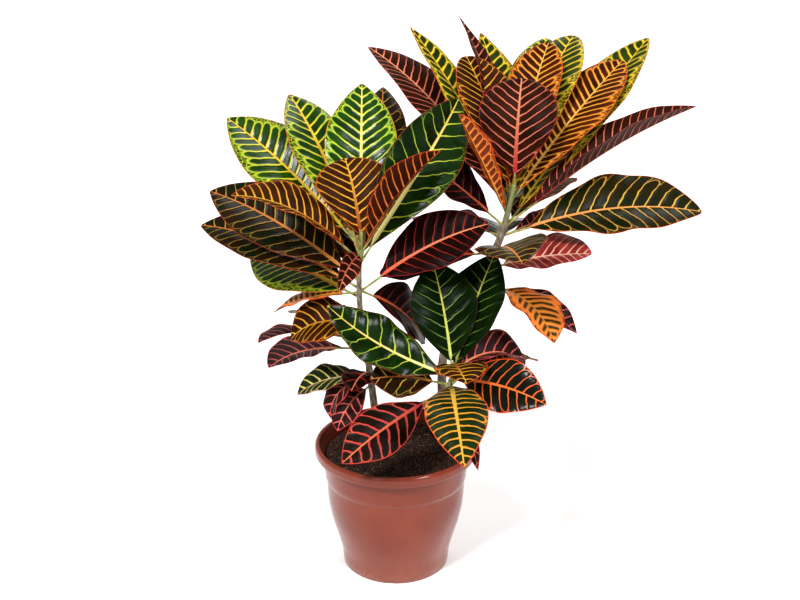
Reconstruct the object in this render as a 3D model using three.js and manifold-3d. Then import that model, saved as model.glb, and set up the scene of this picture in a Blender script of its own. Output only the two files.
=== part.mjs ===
// Potted croton: a plastic pot, the soil that fills it, and three woody stems with their leaves.
// Millimetres, +Z up. The origin is the centre of the pot's foot, on the surface that it stands on.
// The low stem grows at the front, on the -Y side, and the tall one leans to the right, towards +X.
import * as THREE from "three";
import { mergeVertices } from "three/addons/utils/BufferGeometryUtils.js";
import Module from "manifold-3d";

const wasm = await Module();
wasm.setup();

// Driving dimensions.
const POT_HEIGHT = 156; // foot to the crest of the rim
const RIM_RADIUS = 95; // outside of the rolled rim
const FOOT_RADIUS = 63; // outside of the foot ring
const WALL = 2.2; // pot wall
const FLOOR = 6; // top of the pot's floor above the surface
const SOIL_HEIGHT = 142; // mean level of the soil
const GAP = 0.3; // between pieces that touch on the real plant
const BLADE = 0.9; // leaf thickness
const PETIOLE = 3.2; // leaf stalk thickness at the stem
const STEM_FOOT = 104; // lower end of each stem, inside the soil

// ---------------------------------------------------------------- solids

// The solid bounded by a closed mesh.
function solidOf(geometry) {
  const bare = geometry.clone();
  for (const name of ["normal", "uv"]) bare.deleteAttribute(name);
  const merged = mergeVertices(bare, 1e-3);
  return new wasm.Manifold(
    new wasm.Mesh({
      numProp: 3,
      vertProperties: new Float32Array(merged.attributes.position.array),
      triVerts: new Uint32Array(merged.index.array),
    }),
  );
}

// The mesh of a solid, named and coloured as one piece of the plant.
function meshOf(name, solid, material) {
  const { vertProperties, triVerts } = solid.getMesh();
  const geometry = new THREE.BufferGeometry();
  geometry.setAttribute("position", new THREE.BufferAttribute(new Float32Array(vertProperties), 3));
  geometry.setIndex(new THREE.BufferAttribute(new Uint32Array(triVerts), 1));
  geometry.computeVertexNormals();
  const mesh = new THREE.Mesh(geometry, material);
  mesh.name = name;
  return mesh;
}

// A closed mesh through rings of points that all have the same number of corners.
function loft(rings) {
  const corners = rings[0].length;
  const points = rings.flat();
  const faces = [];
  for (let k = 0; k + 1 < rings.length; k++)
    for (let c = 0; c < corners; c++) {
      const a = k * corners + c;
      const b = k * corners + ((c + 1) % corners);
      faces.push(a, b, b + corners, a, b + corners, a + corners);
    }
  const last = (rings.length - 1) * corners;
  for (let c = 1; c + 1 < corners; c++)
    faces.push(0, c + 1, c, last, last + c, last + c + 1);
  const geometry = new THREE.BufferGeometry().setFromPoints(points);
  geometry.setIndex(faces);
  return solidOf(geometry);
}

// ---------------------------------------------------------------- pot

// Moulded plastic nursery pot: belly, step below the collar, rolled rim, foot ring and drain holes.
const POT_SIDES = 40;
const OUTSIDE = [
  [FOOT_RADIUS, 0],
  [FOOT_RADIUS + 1, 12],
  [FOOT_RADIUS + 2.5, 22],
  [71, 42],
  [76.5, 62],
  [80, 82],
  [81, 98],
  [81.5, 112],
  [83.5, 115],
  [84.5, 128],
  [85.5, 142],
];
const BASE_PAD = 28; // radius of the flat pad in the middle of the foot
const FOOT_RING = 55; // inside of the foot ring
const RECESS = 3; // height of the hollow between the pad and the foot ring
const INSIDE = OUTSIDE.filter(([, z]) => z > FLOOR).map(([r, z]) => [r - WALL, z]);

function pot() {
  const profile = [
    [0, FLOOR],
    [FOOT_RADIUS - WALL, FLOOR],
    ...INSIDE,
    [88.5, POT_HEIGHT - 3],
    [90, POT_HEIGHT - 0.7],
    [92, POT_HEIGHT],
    [94.2, POT_HEIGHT - 1.6],
    [RIM_RADIUS, POT_HEIGHT - 5],
    [RIM_RADIUS - 0.4, POT_HEIGHT - 12],
    [RIM_RADIUS - 2, POT_HEIGHT - 13],
    ...OUTSIDE.toReversed(),
    [FOOT_RING, 0],
    [FOOT_RING, RECESS],
    [BASE_PAD, RECESS],
    [BASE_PAD, 0],
    [0, 0],
  ].map(([r, z]) => new THREE.Vector2(r, z));
  // The lathe turns round Y, so its axis is tipped up to Z.
  let body = solidOf(new THREE.LatheGeometry(profile.toReversed(), POT_SIDES).rotateX(Math.PI / 2));
  const drains = 6;
  for (let k = 0; k < drains; k++) {
    const turn = (k * 2 * Math.PI) / drains;
    const hole = new THREE.CylinderGeometry(5, 5, 12, 12).rotateX(Math.PI / 2);
    hole.translate(42 * Math.cos(turn), 42 * Math.sin(turn), FLOOR);
    body = body.subtract(solidOf(hole));
  }
  // Water runs off through four shallow notches in the foot ring.
  for (let k = 0; k < 4; k++) {
    const notch = new THREE.BoxGeometry(20, 9, 3).translate(FOOT_RADIUS - 2, 0, 0);
    body = body.subtract(solidOf(notch.rotateZ(((k * 90 - 96) * Math.PI) / 180)));
  }
  return body;
}

// ---------------------------------------------------------------- stems

// Each stem: the points it passes through, bottom to top, and its thickness there.
const STEMS = {
  left: {
    path: [
      [-22, 25, STEM_FOOT],
      [-22, 25, 146],
      [-30, 8, 240],
      [-39, -2, 310],
      [-40, -18, 370],
      [-37, -20, 418],
    ],
    radius: [5.2, 5, 4, 3.2, 3, 2],
  },
  right: {
    path: [
      [58, 30, STEM_FOOT],
      [58, 30, 146],
      [58, 50, 250],
      [93, 54, 325],
      [120, 52, 388],
      [134, 50, 452],
    ],
    radius: [6.4, 6.2, 5.2, 4.8, 4.4, 2.4],
  },
  low: {
    path: [
      [0, 32, STEM_FOOT],
      [0, 32, 146],
      [4, 27, 162],
      [22, 4, 194],
      [52, -35, 230],
      [61, -40, 248],
      [64, -41, 272],
    ],
    radius: [5, 4.8, 4.6, 4.2, 3.6, 3.2, 2],
  },
};
for (const stem of Object.values(STEMS)) {
  const points = stem.path.map((p) => new THREE.Vector3(...p));
  stem.curve = new THREE.CatmullRomCurve3(points, false, "centripetal");
}

// The point of a stem's curve at a height above the pot's foot, by bisection.
function stemPoint(stem, height) {
  let low = 0;
  let high = 1;
  for (let k = 0; k < 30; k++) {
    const middle = (low + high) / 2;
    if (stem.curve.getPoint(middle).z < height) low = middle;
    else high = middle;
  }
  return stem.curve.getPoint(low);
}

// A stem's woody body: rings of eight corners, level with the ground.
function stemBody(stem) {
  const sides = 8;
  const steps = 14;
  const rings = [];
  for (let k = 0; k <= steps; k++) {
    const t = k / steps;
    const centre = stem.curve.getPoint(t);
    const place = t * (stem.radius.length - 1);
    const before = Math.min(Math.floor(place), stem.radius.length - 2);
    const radius = THREE.MathUtils.lerp(stem.radius[before], stem.radius[before + 1], place - before);
    rings.push(
      Array.from({ length: sides }, (_, c) => {
        const turn = (c * 2 * Math.PI) / sides;
        return new THREE.Vector3(
          centre.x + radius * Math.cos(turn),
          centre.y + radius * Math.sin(turn),
          centre.z,
        );
      }),
    );
  }
  return loft(rings);
}

// ---------------------------------------------------------------- soil

// Potting soil that fills the pot, with a lumpy top and a plain hole for each stem.
function soil() {
  const inside = (z) => {
    const above = INSIDE.findIndex(([, height]) => height >= z);
    const [r0, z0] = INSIDE[above - 1];
    const [r1, z1] = INSIDE[above];
    return r0 + ((r1 - r0) * (z - z0)) / (z1 - z0) - GAP * 2;
  };
  const edge = SOIL_HEIGHT - 5;
  const bottom = FLOOR + GAP;
  const profile = [[0, bottom], [FOOT_RADIUS - WALL - 1, bottom]];
  for (const z of [22, 42, 62, 82, 98, 112]) profile.push([inside(z), z]);
  profile.push([inside(112), edge - 8], [inside(112), edge]);
  for (const r of [72, 62, 52, 42, 32, 22, 11, 0]) profile.push([r, SOIL_HEIGHT]);
  const points = profile.map(([r, z]) => new THREE.Vector2(r, z));
  const geometry = new THREE.LatheGeometry(points, 36).rotateX(Math.PI / 2);
  const place = geometry.attributes.position;
  for (let k = 0; k < place.count; k++) {
    if (place.getZ(k) < SOIL_HEIGHT - 1) continue;
    const x = place.getX(k);
    const y = place.getY(k);
    const lumps = Math.sin(x * 0.16 + 1) * Math.cos(y * 0.13) + 0.6 * Math.sin(x * 0.31 - y * 0.27);
    place.setZ(k, SOIL_HEIGHT + 1.6 * lumps);
  }
  let body = solidOf(geometry);
  for (const { path, radius } of Object.values(STEMS)) {
    const hole = new THREE.CylinderGeometry(radius[0] + 2, radius[0] + 2, 60, 12).rotateX(Math.PI / 2);
    body = body.subtract(solidOf(hole.translate(path[0][0], path[0][1], STEM_FOOT + 29)));
  }
  return body;
}

// ---------------------------------------------------------------- leaves

// One row a leaf, from the height of its node on the stem. Degrees: heading (0 is +X, 90 is +Y), rise above
// level, droop and sweep (how much it has bent down and turned left at the tip), and roll to its left.
// Millimetres: length and width of the blade. Last come the values in which it differs from USUAL.
const USUAL = {
  stalk: 25, // mm from the stem to the blade
  fold: 12, // degrees that each half stands up from the midrib
  twist: 0, // degrees that the tip is rolled more than the base
  wave: 1.5, // mm that the margin rises and falls
  peak: 1.12, // the larger it is, the nearer the tip the blade is broadest
  full: 0.86, // the smaller it is, the blunter the blade's ends
};
const LEAVES = {
  left: [
    // Top tuft.
    [400, 140, 35, 15, 0, -30, 205, 80, { stalk: 30 }],
    [395, 120, 50, 25, 0, -5, 200, 70],
    [400, 90, 55, 10, 0, 0, 175, 80],
    [385, 75, 50, 20, 15, 0, 200, 65, { stalk: 35 }],
    [410, 110, 70, 35, 0, -10, 90, 80, { stalk: 5, peak: 1.5, full: 0.7 }],
    [360, 145, 25, 20, 0, -35, 205, 80],
    [385, 180, 45, 45, 0, -15, 135, 60, { fold: 25 }],
    [350, 150, 20, 25, 0, -30, 200, 70],
    [338, 133, 6, 15, 0, -40, 178, 78],
    [390, 10, 60, 20, 0, 25, 130, 50, { fold: 45, stalk: 15 }],
    [392, -110, 0, 50, 0, -40, 62, 28, { fold: 40, stalk: 5 }],
    [345, 10, 35, 25, 0, 40, 135, 70, { stalk: 30 }],
    [348, 35, -30, 35, 0, 40, 105, 80, { stalk: 22 }],
    [380, 20, 55, 20, 45, 35, 200, 80, { twist: 20, fold: 20 }],
    // Lower and older leaves.
    [345, 145, -15, 20, 0, -10, 112, 50],
    [300, 190, 20, 75, -20, -25, 85, 70, { stalk: 5 }],
    [280, 160, 5, 40, 0, 25, 110, 55, { stalk: 30 }],
    [270, 160, -5, 40, 0, 45, 105, 55, { stalk: 30 }],
    [300, 125, -5, 20, 0, 0, 140, 55],
    [240, -120, 10, 60, 0, 0, 38, 40, { stalk: 5 }],
    [232, -175, 5, 45, 0, -10, 78, 50, { stalk: 12 }],
    [232, -150, 0, 110, 0, 0, 68, 36, { stalk: 12 }],
    [222, -130, -10, 60, 0, -20, 62, 34, { stalk: 12 }],
    // Far side.
    [390, 105, 20, 30, 0, 0, 185, 75],
    [380, 80, 20, 35, 0, 0, 180, 70],
    [365, 110, 15, 25, 0, 0, 175, 70],
    // Sprouts.
    [404, -150, 50, 0, 0, 0, 24, 8, { fold: 30, stalk: 3 }],
    [398, -100, 30, 0, 0, 0, 20, 7, { fold: 30, stalk: 3 }],
  ],
  right: [
    // Top tuft.
    [420, 150, 55, 30, 0, -10, 235, 80, { stalk: 20 }],
    [425, 140, 60, 20, 0, 0, 215, 50],
    [430, 95, 55, 5, 40, 30, 215, 55],
    [415, 85, 50, 5, 30, 0, 220, 60],
    [440, 120, 65, 25, 0, 0, 165, 72, { stalk: 10, peak: 1.6, full: 0.6 }],
    [445, 65, 65, 25, 0, 0, 170, 62, { stalk: 15, peak: 1.6, full: 0.6 }],
    [420, 70, 60, 30, 0, 0, 210, 60, { peak: 1.5, full: 0.65 }],
    [415, 60, 60, 35, 0, 0, 230, 75, { peak: 1.5, full: 0.65 }],
    [395, 35, 45, 5, 0, 0, 260, 90, { stalk: 35, peak: 1.3, full: 0.75 }],
    [430, 34, 46, 10, 0, 10, 198, 80, { stalk: 20, peak: 1.5, full: 0.65, fold: 8 }],
    [455, 80, 80, 40, 0, 0, 115, 88, { stalk: 10, peak: 1.4, full: 0.65 }],
    [400, 5, 40, 20, 0, 0, 215, 60, { fold: 40, stalk: 40 }],
    [390, -5, 20, 30, 0, 30, 195, 90, { stalk: 35, full: 0.75, wave: 3 }],
    [375, -85, 20, 20, 0, 10, 140, 80, { stalk: 30 }],
    [415, 225, 60, 0, -20, 20, 135, 30, { fold: 30, stalk: 10, peak: 1.7, full: 0.6 }],
    [402, 178, 42, 10, 0, -25, 108, 70],
    // Lower and older leaves.
    [350, -20, 20, 15, 0, 15, 105, 72, { stalk: 22, full: 0.7 }],
    [330, -45, 5, 60, -15, -10, 105, 70, { wave: 3, stalk: 32 }],
    [335, -10, -20, 20, 0, 20, 100, 45, { fold: 25, stalk: 30 }],
    // Far side.
    [405, 80, 20, 30, 0, 0, 185, 65],
    [400, 60, 15, 30, 0, 0, 175, 65],
    [390, 125, 0, 20, 0, 0, 150, 60],
    [390, 40, 5, 30, 0, 0, 160, 60],
    [380, 85, 0, 30, 0, 0, 165, 65],
    [370, 155, -12, 15, 0, -30, 130, 70],
  ],
  low: [
    // Near side.
    [255, 175, 20, -25, 0, -40, 150, 60, { stalk: 12, wave: 3.5 }],
    [262, 110, 70, 25, 0, -10, 115, 75, { stalk: 12 }],
    [250, 55, 60, 15, 0, 0, 135, 75, { stalk: 20 }],
    [252, -45, 15, 30, 10, 50, 110, 60, { stalk: 20 }],
    [250, -90, 10, 35, 5, 5, 160, 65],
    [240, -145, -15, 15, 0, -35, 115, 56, { stalk: 35, fold: 2 }],
    [245, -175, 15, 25, 0, -35, 70, 60, { stalk: 20 }],
    [272, -80, 10, 15, 0, 0, 62, 60, { stalk: 5 }],
    [235, -70, -5, 60, 0, 60, 95, 24, { stalk: 20 }],
    [260, 20, 30, 90, 0, 15, 85, 55, { fold: 30, stalk: 15 }],
    // Far side.
    [262, 95, 40, 40, 0, 0, 130, 60],
    [238, 60, 5, 30, 0, 0, 130, 55],
    [246, 40, 10, 40, 0, 0, 120, 55],
  ],
};
const LEAF_STEPS = 8;
const WAVES = 3; // waves along each margin

// The leaf's own directions at a point: along, across to its left, and out of its upper face.
function leafAxes(heading, rise, roll) {
  const [h, r, q] = [heading, rise, roll].map(THREE.MathUtils.degToRad);
  const along = new THREE.Vector3(Math.cos(r) * Math.cos(h), Math.cos(r) * Math.sin(h), Math.sin(r));
  const level = new THREE.Vector3(-Math.sin(h), Math.cos(h), 0);
  const upper = new THREE.Vector3().crossVectors(along, level);
  const across = level.clone().multiplyScalar(Math.cos(q)).addScaledVector(upper, Math.sin(q));
  return { along, across, upper: new THREE.Vector3().crossVectors(along, across) };
}

// A leaf's blade and stalk as one solid: the blade is a thin folded strip between two waved margins.
function leaf(stem, row, number) {
  const [height, heading, rise, droop, sweep, roll, long, wide, own] = row;
  const { stalk, fold, twist, wave, peak, full } = { ...USUAL, ...own };
  const bend = THREE.MathUtils.degToRad(fold);
  const node = stemPoint(stem, height);
  const { along } = leafAxes(heading, rise, roll);
  const centre = node.clone().addScaledVector(along, stalk);
  const rings = [];
  let before = along;
  for (let k = 0; k <= LEAF_STEPS; k++) {
    const u = k / LEAF_STEPS;
    const axes = leafAxes(heading + sweep * u, rise - droop * u ** 1.25, roll + twist * u);
    if (k) centre.addScaledVector(before.add(axes.along), long / LEAF_STEPS / 2);
    before = axes.along.clone();
    const half = (wide / 2) * Math.sin(Math.PI * u ** peak) ** full + 1.6 * (1 - u) + 0.8;
    const lift = wave * Math.sin(Math.PI * u) * Math.sin(2 * Math.PI * WAVES * u + number);
    const edge = (side) =>
      centre
        .clone()
        .addScaledVector(axes.across, side * half * Math.cos(bend))
        .addScaledVector(axes.upper, half * Math.sin(bend) + side * lift);
    const skin = (point, side) => point.clone().addScaledVector(axes.upper, (side * BLADE) / 2);
    const section = [edge(1), centre, edge(-1)];
    rings.push([...section.map((p) => skin(p, 1)), ...section.toReversed().map((p) => skin(p, -1))]);
  }
  const blade = loftBlade(rings);
  return blade.add(leafStalk(node, heading, rise, roll, stalk));
}

// The blade's rings joined so that its upper and lower faces are split alike, ends closed.
function loftBlade(rings) {
  const points = rings.flat();
  const faces = [];
  const quad = (a, b, c, d) => faces.push(a, b, c, a, c, d);
  const at = (k, c) => k * 6 + c;
  for (let k = 0; k + 1 < rings.length; k++) {
    quad(at(k, 0), at(k, 1), at(k + 1, 1), at(k + 1, 0));
    quad(at(k, 1), at(k, 2), at(k + 1, 2), at(k + 1, 1));
    quad(at(k, 2), at(k, 3), at(k + 1, 3), at(k + 1, 2));
    quad(at(k, 4), at(k + 1, 4), at(k + 1, 3), at(k, 3));
    quad(at(k, 5), at(k + 1, 5), at(k + 1, 4), at(k, 4));
    quad(at(k, 5), at(k, 0), at(k + 1, 0), at(k + 1, 5));
  }
  const cap = (k, flip) => {
    const pairs = [[0, 1, 4, 5], [1, 2, 3, 4]];
    for (const [a, b, c, d] of pairs)
      if (flip) quad(at(k, a), at(k, d), at(k, c), at(k, b));
      else quad(at(k, a), at(k, b), at(k, c), at(k, d));
  };
  cap(0, true);
  cap(rings.length - 1, false);
  const geometry = new THREE.BufferGeometry().setFromPoints(points);
  geometry.setIndex(faces);
  return solidOf(geometry);
}

// A leaf's stalk: four-sided, from inside the stem to a little way into the blade.
function leafStalk(node, heading, rise, roll, stalk) {
  const { along, across, upper } = leafAxes(heading, rise, roll);
  const ring = (distance, thick) =>
    [[1, 1], [-1, 1], [-1, -1], [1, -1]].map(([a, b]) =>
      node
        .clone()
        .addScaledVector(along, distance)
        .addScaledVector(across, (a * thick) / 2)
        .addScaledVector(upper, (b * thick) / 2),
    );
  return loft([ring(0, PETIOLE), ring(stalk + 7, PETIOLE - 0.8)]);
}

// A stem with all its leaves, grown as one body.
function leafyStem(name) {
  const leaves = LEAVES[name].map((row, number) => leaf(STEMS[name], row, number));
  return leaves.reduce((body, next) => body.add(next), stemBody(STEMS[name]));
}

// ---------------------------------------------------------------- plant

const terracotta = new THREE.MeshStandardMaterial({ color: 0x9a4f40, roughness: 0.35, metalness: 0 });
const peat = new THREE.MeshStandardMaterial({ color: 0x2a1a14, roughness: 0.95, metalness: 0 });
const foliage = {
  left: new THREE.MeshStandardMaterial({ color: 0x6d7a22, roughness: 0.4, metalness: 0 }),
  right: new THREE.MeshStandardMaterial({ color: 0x7a4a24, roughness: 0.4, metalness: 0 }),
  low: new THREE.MeshStandardMaterial({ color: 0x2f5a24, roughness: 0.4, metalness: 0 }),
};

const croton = new THREE.Group();
croton.name = "potted_croton";
croton.add(meshOf("pot", pot(), terracotta));
croton.add(meshOf("soil", soil(), peat));
for (const name of Object.keys(STEMS))
  croton.add(meshOf(`leafy_stem_${name}`, leafyStem(name), foliage[name]));

export default croton;
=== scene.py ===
# A potted croton: a plastic nursery pot, potting soil and three woody stems with their leaves.
from math import cos, pi, radians, sin, sqrt, tau

import bmesh
import bpy
import numpy as np
from mathutils import Matrix


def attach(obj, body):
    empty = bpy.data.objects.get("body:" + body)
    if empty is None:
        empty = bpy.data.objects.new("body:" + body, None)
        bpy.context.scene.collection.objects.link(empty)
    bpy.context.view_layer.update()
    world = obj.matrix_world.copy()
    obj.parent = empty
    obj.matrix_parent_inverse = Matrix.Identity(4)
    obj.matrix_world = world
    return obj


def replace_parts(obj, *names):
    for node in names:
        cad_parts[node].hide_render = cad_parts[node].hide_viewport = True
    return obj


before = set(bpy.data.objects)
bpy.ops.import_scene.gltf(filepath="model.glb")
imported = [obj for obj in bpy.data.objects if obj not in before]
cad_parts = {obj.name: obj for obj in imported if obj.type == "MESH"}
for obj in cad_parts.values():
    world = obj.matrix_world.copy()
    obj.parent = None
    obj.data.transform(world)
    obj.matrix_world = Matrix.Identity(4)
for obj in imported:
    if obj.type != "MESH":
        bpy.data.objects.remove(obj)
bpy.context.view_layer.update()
scene = bpy.context.scene

# ------------------------------------------------------------------ camera
# Eye height of someone who stands in front of a low table, looking down on the plant.
EYE = (0.005, -1.3, 0.82)  # m
LOOKS_DOWN = 20.6  # degrees below the horizon
LENS = 55.6  # mm
camera = bpy.data.objects.new("camera", bpy.data.cameras.new("camera"))
camera.location = EYE
camera.rotation_euler = (radians(90 - LOOKS_DOWN), 0, 0)
camera.data.lens = LENS
scene.collection.objects.link(camera)
scene.camera = camera


# ------------------------------------------------------------------ studio
# A white floor that runs out of sight, under three large soft lamps and a dim white tent.
def linear(code, alpha=1.0):
    """The linear colour of an sRGB hex value."""
    parts = [int(code[k : k + 2], 16) / 255 for k in (1, 3, 5)]
    return (*((c / 12.92 if c <= 0.04045 else ((c + 0.055) / 1.055) ** 2.4) for c in parts), alpha)


def add(tree, kind, inputs=None, stops=(), **settings):
    """A node with its settings, a ramp's stops, and each input linked from a socket or set to a value."""
    made = tree.nodes.new(kind)
    for name, value in settings.items():
        setattr(made, name, value)
    for k, (position, code) in enumerate(stops):
        made.color_ramp.elements[k].position = position
        made.color_ramp.elements[k].color = linear(code)
    for name, value in (inputs or {}).items():
        if isinstance(value, bpy.types.NodeSocket):
            tree.links.new(value, made.inputs[name])
        else:
            made.inputs[name].default_value = value
    return made


def finish(name, roughness, **sockets):
    """A material with a Principled shader, which is returned with it and its node tree."""
    material = bpy.data.materials.new(name)
    material.use_nodes = True
    shader = material.node_tree.nodes["Principled BSDF"]
    shader.inputs["Roughness"].default_value = roughness
    for socket, value in sockets.items():
        shader.inputs[socket.replace("_", " ")].default_value = value
    return material, material.node_tree, shader


FLOOR_REACH = 12.0  # m from the plant to the floor's edges
floor_mesh = bpy.data.meshes.new("floor")
corners = [(x * FLOOR_REACH, y * FLOOR_REACH, 0) for x, y in ((-1, -1), (1, -1), (1, 1), (-1, 1))]
floor_mesh.from_pydata(corners, [], [(0, 1, 2, 3)])
studio_floor = bpy.data.objects.new("floor", floor_mesh)
scene.collection.objects.link(studio_floor)
paper, _, paper_shader = finish("matt_white_paper", 0.9)
paper_shader.inputs["Base Color"].default_value = linear("#FAFAFA")
floor_mesh.materials.append(paper)

LAMPS = (
    # name, strength, angle across, tilt from the zenith, compass turn
    ("key_lamp", 2.8, 12, 42, -36),
    ("fill_lamp", 2.0, 20, 46, 40),
    ("back_lamp", 1.3, 40, 36, 172),
)
for name, strength, across, tilt, turn in LAMPS:
    lamp = bpy.data.lights.new(name, "SUN")
    lamp.energy = strength
    lamp.angle = radians(across)
    holder = bpy.data.objects.new(name, lamp)
    holder.rotation_euler = (radians(tilt), 0, radians(turn))
    scene.collection.objects.link(holder)

TENT_GLOW = 0.3
tent = bpy.data.worlds.new("white_tent")
scene.world = tent
tent.use_nodes = True
tent.node_tree.nodes["Background"].inputs["Color"].default_value = linear("#FFFFFF")
tent.node_tree.nodes["Background"].inputs["Strength"].default_value = TENT_GLOW
scene.view_settings.view_transform = "Standard"


# ------------------------------------------------------------------ pot
# Injection-moulded polypropylene nursery pot: belly, step below the collar and a rim rolled outwards.
# It stands on its centre pad and its foot ring, whose four notches let out the water from six drain holes.
MM = 0.001  # m


def piece(name, points, faces, *materials):
    """A smooth-shaded mesh object at the origin, whose points are in the row frame."""
    mesh = bpy.data.meshes.new(name)
    mesh.from_pydata([tuple(p) for p in points], [], faces)
    mesh.validate()
    for material in materials:
        mesh.materials.append(material)
    mesh.polygons.foreach_set("use_smooth", [True] * len(mesh.polygons))
    made = bpy.data.objects.new(name, mesh)
    scene.collection.objects.link(made)
    return made


def through(points, steps):
    """Points on a smooth curve through the given ones, with that many steps between each two."""
    p = np.array(points, float)
    p = np.array([2 * p[0] - p[1], *p, 2 * p[-1] - p[-2]])
    knots = np.cumsum([0, *np.sqrt(np.linalg.norm(np.diff(p, axis=0), axis=1))])
    curve = []
    for k in range(1, len(p) - 2):
        t0, t1, t2, t3 = knots[k - 1 : k + 3]
        for t in np.linspace(t1, t2, steps, endpoint=False):
            a = p[k - 1] + (p[k] - p[k - 1]) * (t - t0) / (t1 - t0)
            b = p[k] + (p[k + 1] - p[k]) * (t - t1) / (t2 - t1)
            c = p[k + 1] + (p[k + 2] - p[k + 1]) * (t - t2) / (t3 - t2)
            a, b = a + (b - a) * (t - t0) / (t2 - t0), b + (c - b) * (t - t1) / (t3 - t1)
            curve.append(a + (b - a) * (t - t1) / (t2 - t1))
    return np.array([*curve, p[-2]])


def welded(made):
    """The same piece with its doubled points merged and its faces pointing outwards."""
    shape = bmesh.new()
    shape.from_mesh(made.data)
    bmesh.ops.remove_doubles(shape, verts=shape.verts, dist=1e-6)
    bmesh.ops.recalc_face_normals(shape, faces=shape.faces)
    shape.to_mesh(made.data)
    shape.free()
    return made


def turned(name, profile, sides, *materials):
    """A body turned round Z from a profile of (radius, height) in mm that starts and ends on the axis."""
    count = len(profile)
    turns = np.arange(sides) * tau / sides
    points = [(r * MM * cos(t), r * MM * sin(t), z * MM) for t in turns for r, z in profile]
    faces = []
    for s in range(sides):
        here, after = s * count, (s + 1) % sides * count
        faces += [(here + k, after + k, after + k + 1, here + k + 1) for k in range(count - 1)]
    return welded(piece(name, points, faces, *materials))


def applied(made):
    """The same piece with its modifiers worked into its mesh."""
    bpy.context.view_layer.update()
    done = bpy.data.meshes.new_from_object(made.evaluated_get(bpy.context.evaluated_depsgraph_get()))
    made.modifiers.clear()
    made.data = done
    return made


POT_HEIGHT = 156  # mm, as all sizes of the pot
RIM_RADIUS = 95
FOOT_RADIUS = 63
WALL = 2.2
POT_FLOOR = 6
FOOT_RING = 55  # inner radius of the foot ring
RECESS = 3  # from the foot ring up to the underside of the floor
BASE_PAD = 28  # radius of the centre pad
POT_SIDES = 144
belly = through([(66, 24), (71, 42), (76.5, 62), (80, 82), (81, 98), (81.5, 111)], 4)
collar = through([(83.3, 114.6), (84.5, 128), (85.5, 142)], 3)
roll = through(
    [
        (93, 143),
        (94.6, 144.3),
        (RIM_RADIUS, 149.5),
        (94.4, 153.6),
        (92, POT_HEIGHT),
        (89.8, 155.2),
        (88.4, 152),
    ],
    3,
)
inner = [(r - WALL, z) for r, z in reversed([*belly[::3], *collar[::3]])]
pot_profile = [
    (0, 0),
    (BASE_PAD, 0),
    (BASE_PAD, RECESS),
    (FOOT_RING, RECESS),
    (FOOT_RING, 0),
    (FOOT_RADIUS - 0.6, 0),
    (FOOT_RADIUS, 0.8),
    (FOOT_RADIUS + 1, 12),
    (FOOT_RADIUS + 1.8, 19),
    *belly,
    (82.6, 113),
    *collar,
    (86.4, 143),
    *roll,
    *inner,
    (FOOT_RADIUS - WALL + 2, 20),
    (FOOT_RADIUS - WALL, POT_FLOOR + 3),
    (FOOT_RADIUS - WALL - 3, POT_FLOOR),
    (0, POT_FLOOR),
]

# Polypropylene moulded in a polished tool: an even terracotta red, glossy, a little dusty near the foot.
DUST_TOP = 0.05  # m above the floor at which the dust ends
plastic, tree, shader = finish(
    "glossy_moulded_polypropylene", 0.24, Specular_IOR_Level=0.2, Coat_Weight=0.3, Coat_Roughness=0.06
)
place = add(tree, "ShaderNodeTexCoord").outputs["Object"]
cloud = add(tree, "ShaderNodeTexNoise", {"Vector": place, "Scale": 18.0, "Detail": 3.0})
tone = add(
    tree, "ShaderNodeValToRGB", {"Fac": cloud.outputs["Fac"]}, stops=((0.3, "#732C1C"), (0.7, "#823824"))
)
height = add(tree, "ShaderNodeSeparateXYZ", {"Vector": place}).outputs["Z"]
low = add(
    tree,
    "ShaderNodeMapRange",
    {"Value": height, "From Min": 0.0, "From Max": DUST_TOP, "To Min": 0.35, "To Max": 0.0},
)
specks = add(tree, "ShaderNodeTexNoise", {"Vector": place, "Scale": 260.0, "Detail": 4.0, "Roughness": 0.7})
dust = add(
    tree, "ShaderNodeMath", {0: low.outputs["Result"], 1: specks.outputs["Fac"]}, operation="MULTIPLY"
)
coat = add(
    tree,
    "ShaderNodeMix",
    {"Factor": dust.outputs[0], 6: tone.outputs["Color"], 7: linear("#B98873")},
    data_type="RGBA",
)
tree.links.new(coat.outputs[2], shader.inputs["Base Color"])
worn = add(tree, "ShaderNodeMapRange", {"Value": dust.outputs[0], "To Min": 0.2, "To Max": 0.6})
tree.links.new(worn.outputs["Result"], shader.inputs["Roughness"])
dimple = add(tree, "ShaderNodeTexNoise", {"Vector": place, "Scale": 45.0, "Detail": 2.0})
bump = add(tree, "ShaderNodeBump", {"Height": dimple.outputs["Fac"], "Strength": 0.12, "Distance": 0.001})
tree.links.new(bump.outputs["Normal"], shader.inputs["Normal"])

DRAIN_HOLES = 6
DRAIN_AT = 42  # mm from the pot's axis
DRAIN_RADIUS = 5
DRILL_LENGTH = 20
NOTCHES = 4
FIRST_NOTCH = -96  # degrees, the one a little left of the middle of the front
NOTCH_SIZE = (20, 9, 3)  # mm along the radius, across it and high, half of it below the foot
pot = turned("pot_body", pot_profile, POT_SIDES, plastic)
cutters = bmesh.new()
for k in range(DRAIN_HOLES):
    turn = Matrix.Rotation(k * tau / DRAIN_HOLES, 4, "Z")
    bmesh.ops.create_cone(
        cutters,
        cap_ends=True,
        segments=24,
        radius1=DRAIN_RADIUS * MM,
        radius2=DRAIN_RADIUS * MM,
        depth=DRILL_LENGTH * MM,
        matrix=turn @ Matrix.Translation((DRAIN_AT * MM, 0, POT_FLOOR * MM)),
    )
for k in range(NOTCHES):
    turn = Matrix.Rotation(radians(k * 360 / NOTCHES + FIRST_NOTCH), 4, "Z")
    spot = turn @ Matrix.Translation(((FOOT_RADIUS - 2) * MM, 0, 0))
    shape = Matrix.Diagonal((*(size * MM for size in NOTCH_SIZE), 1))
    bmesh.ops.create_cube(cutters, size=1, matrix=spot @ shape)
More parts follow.
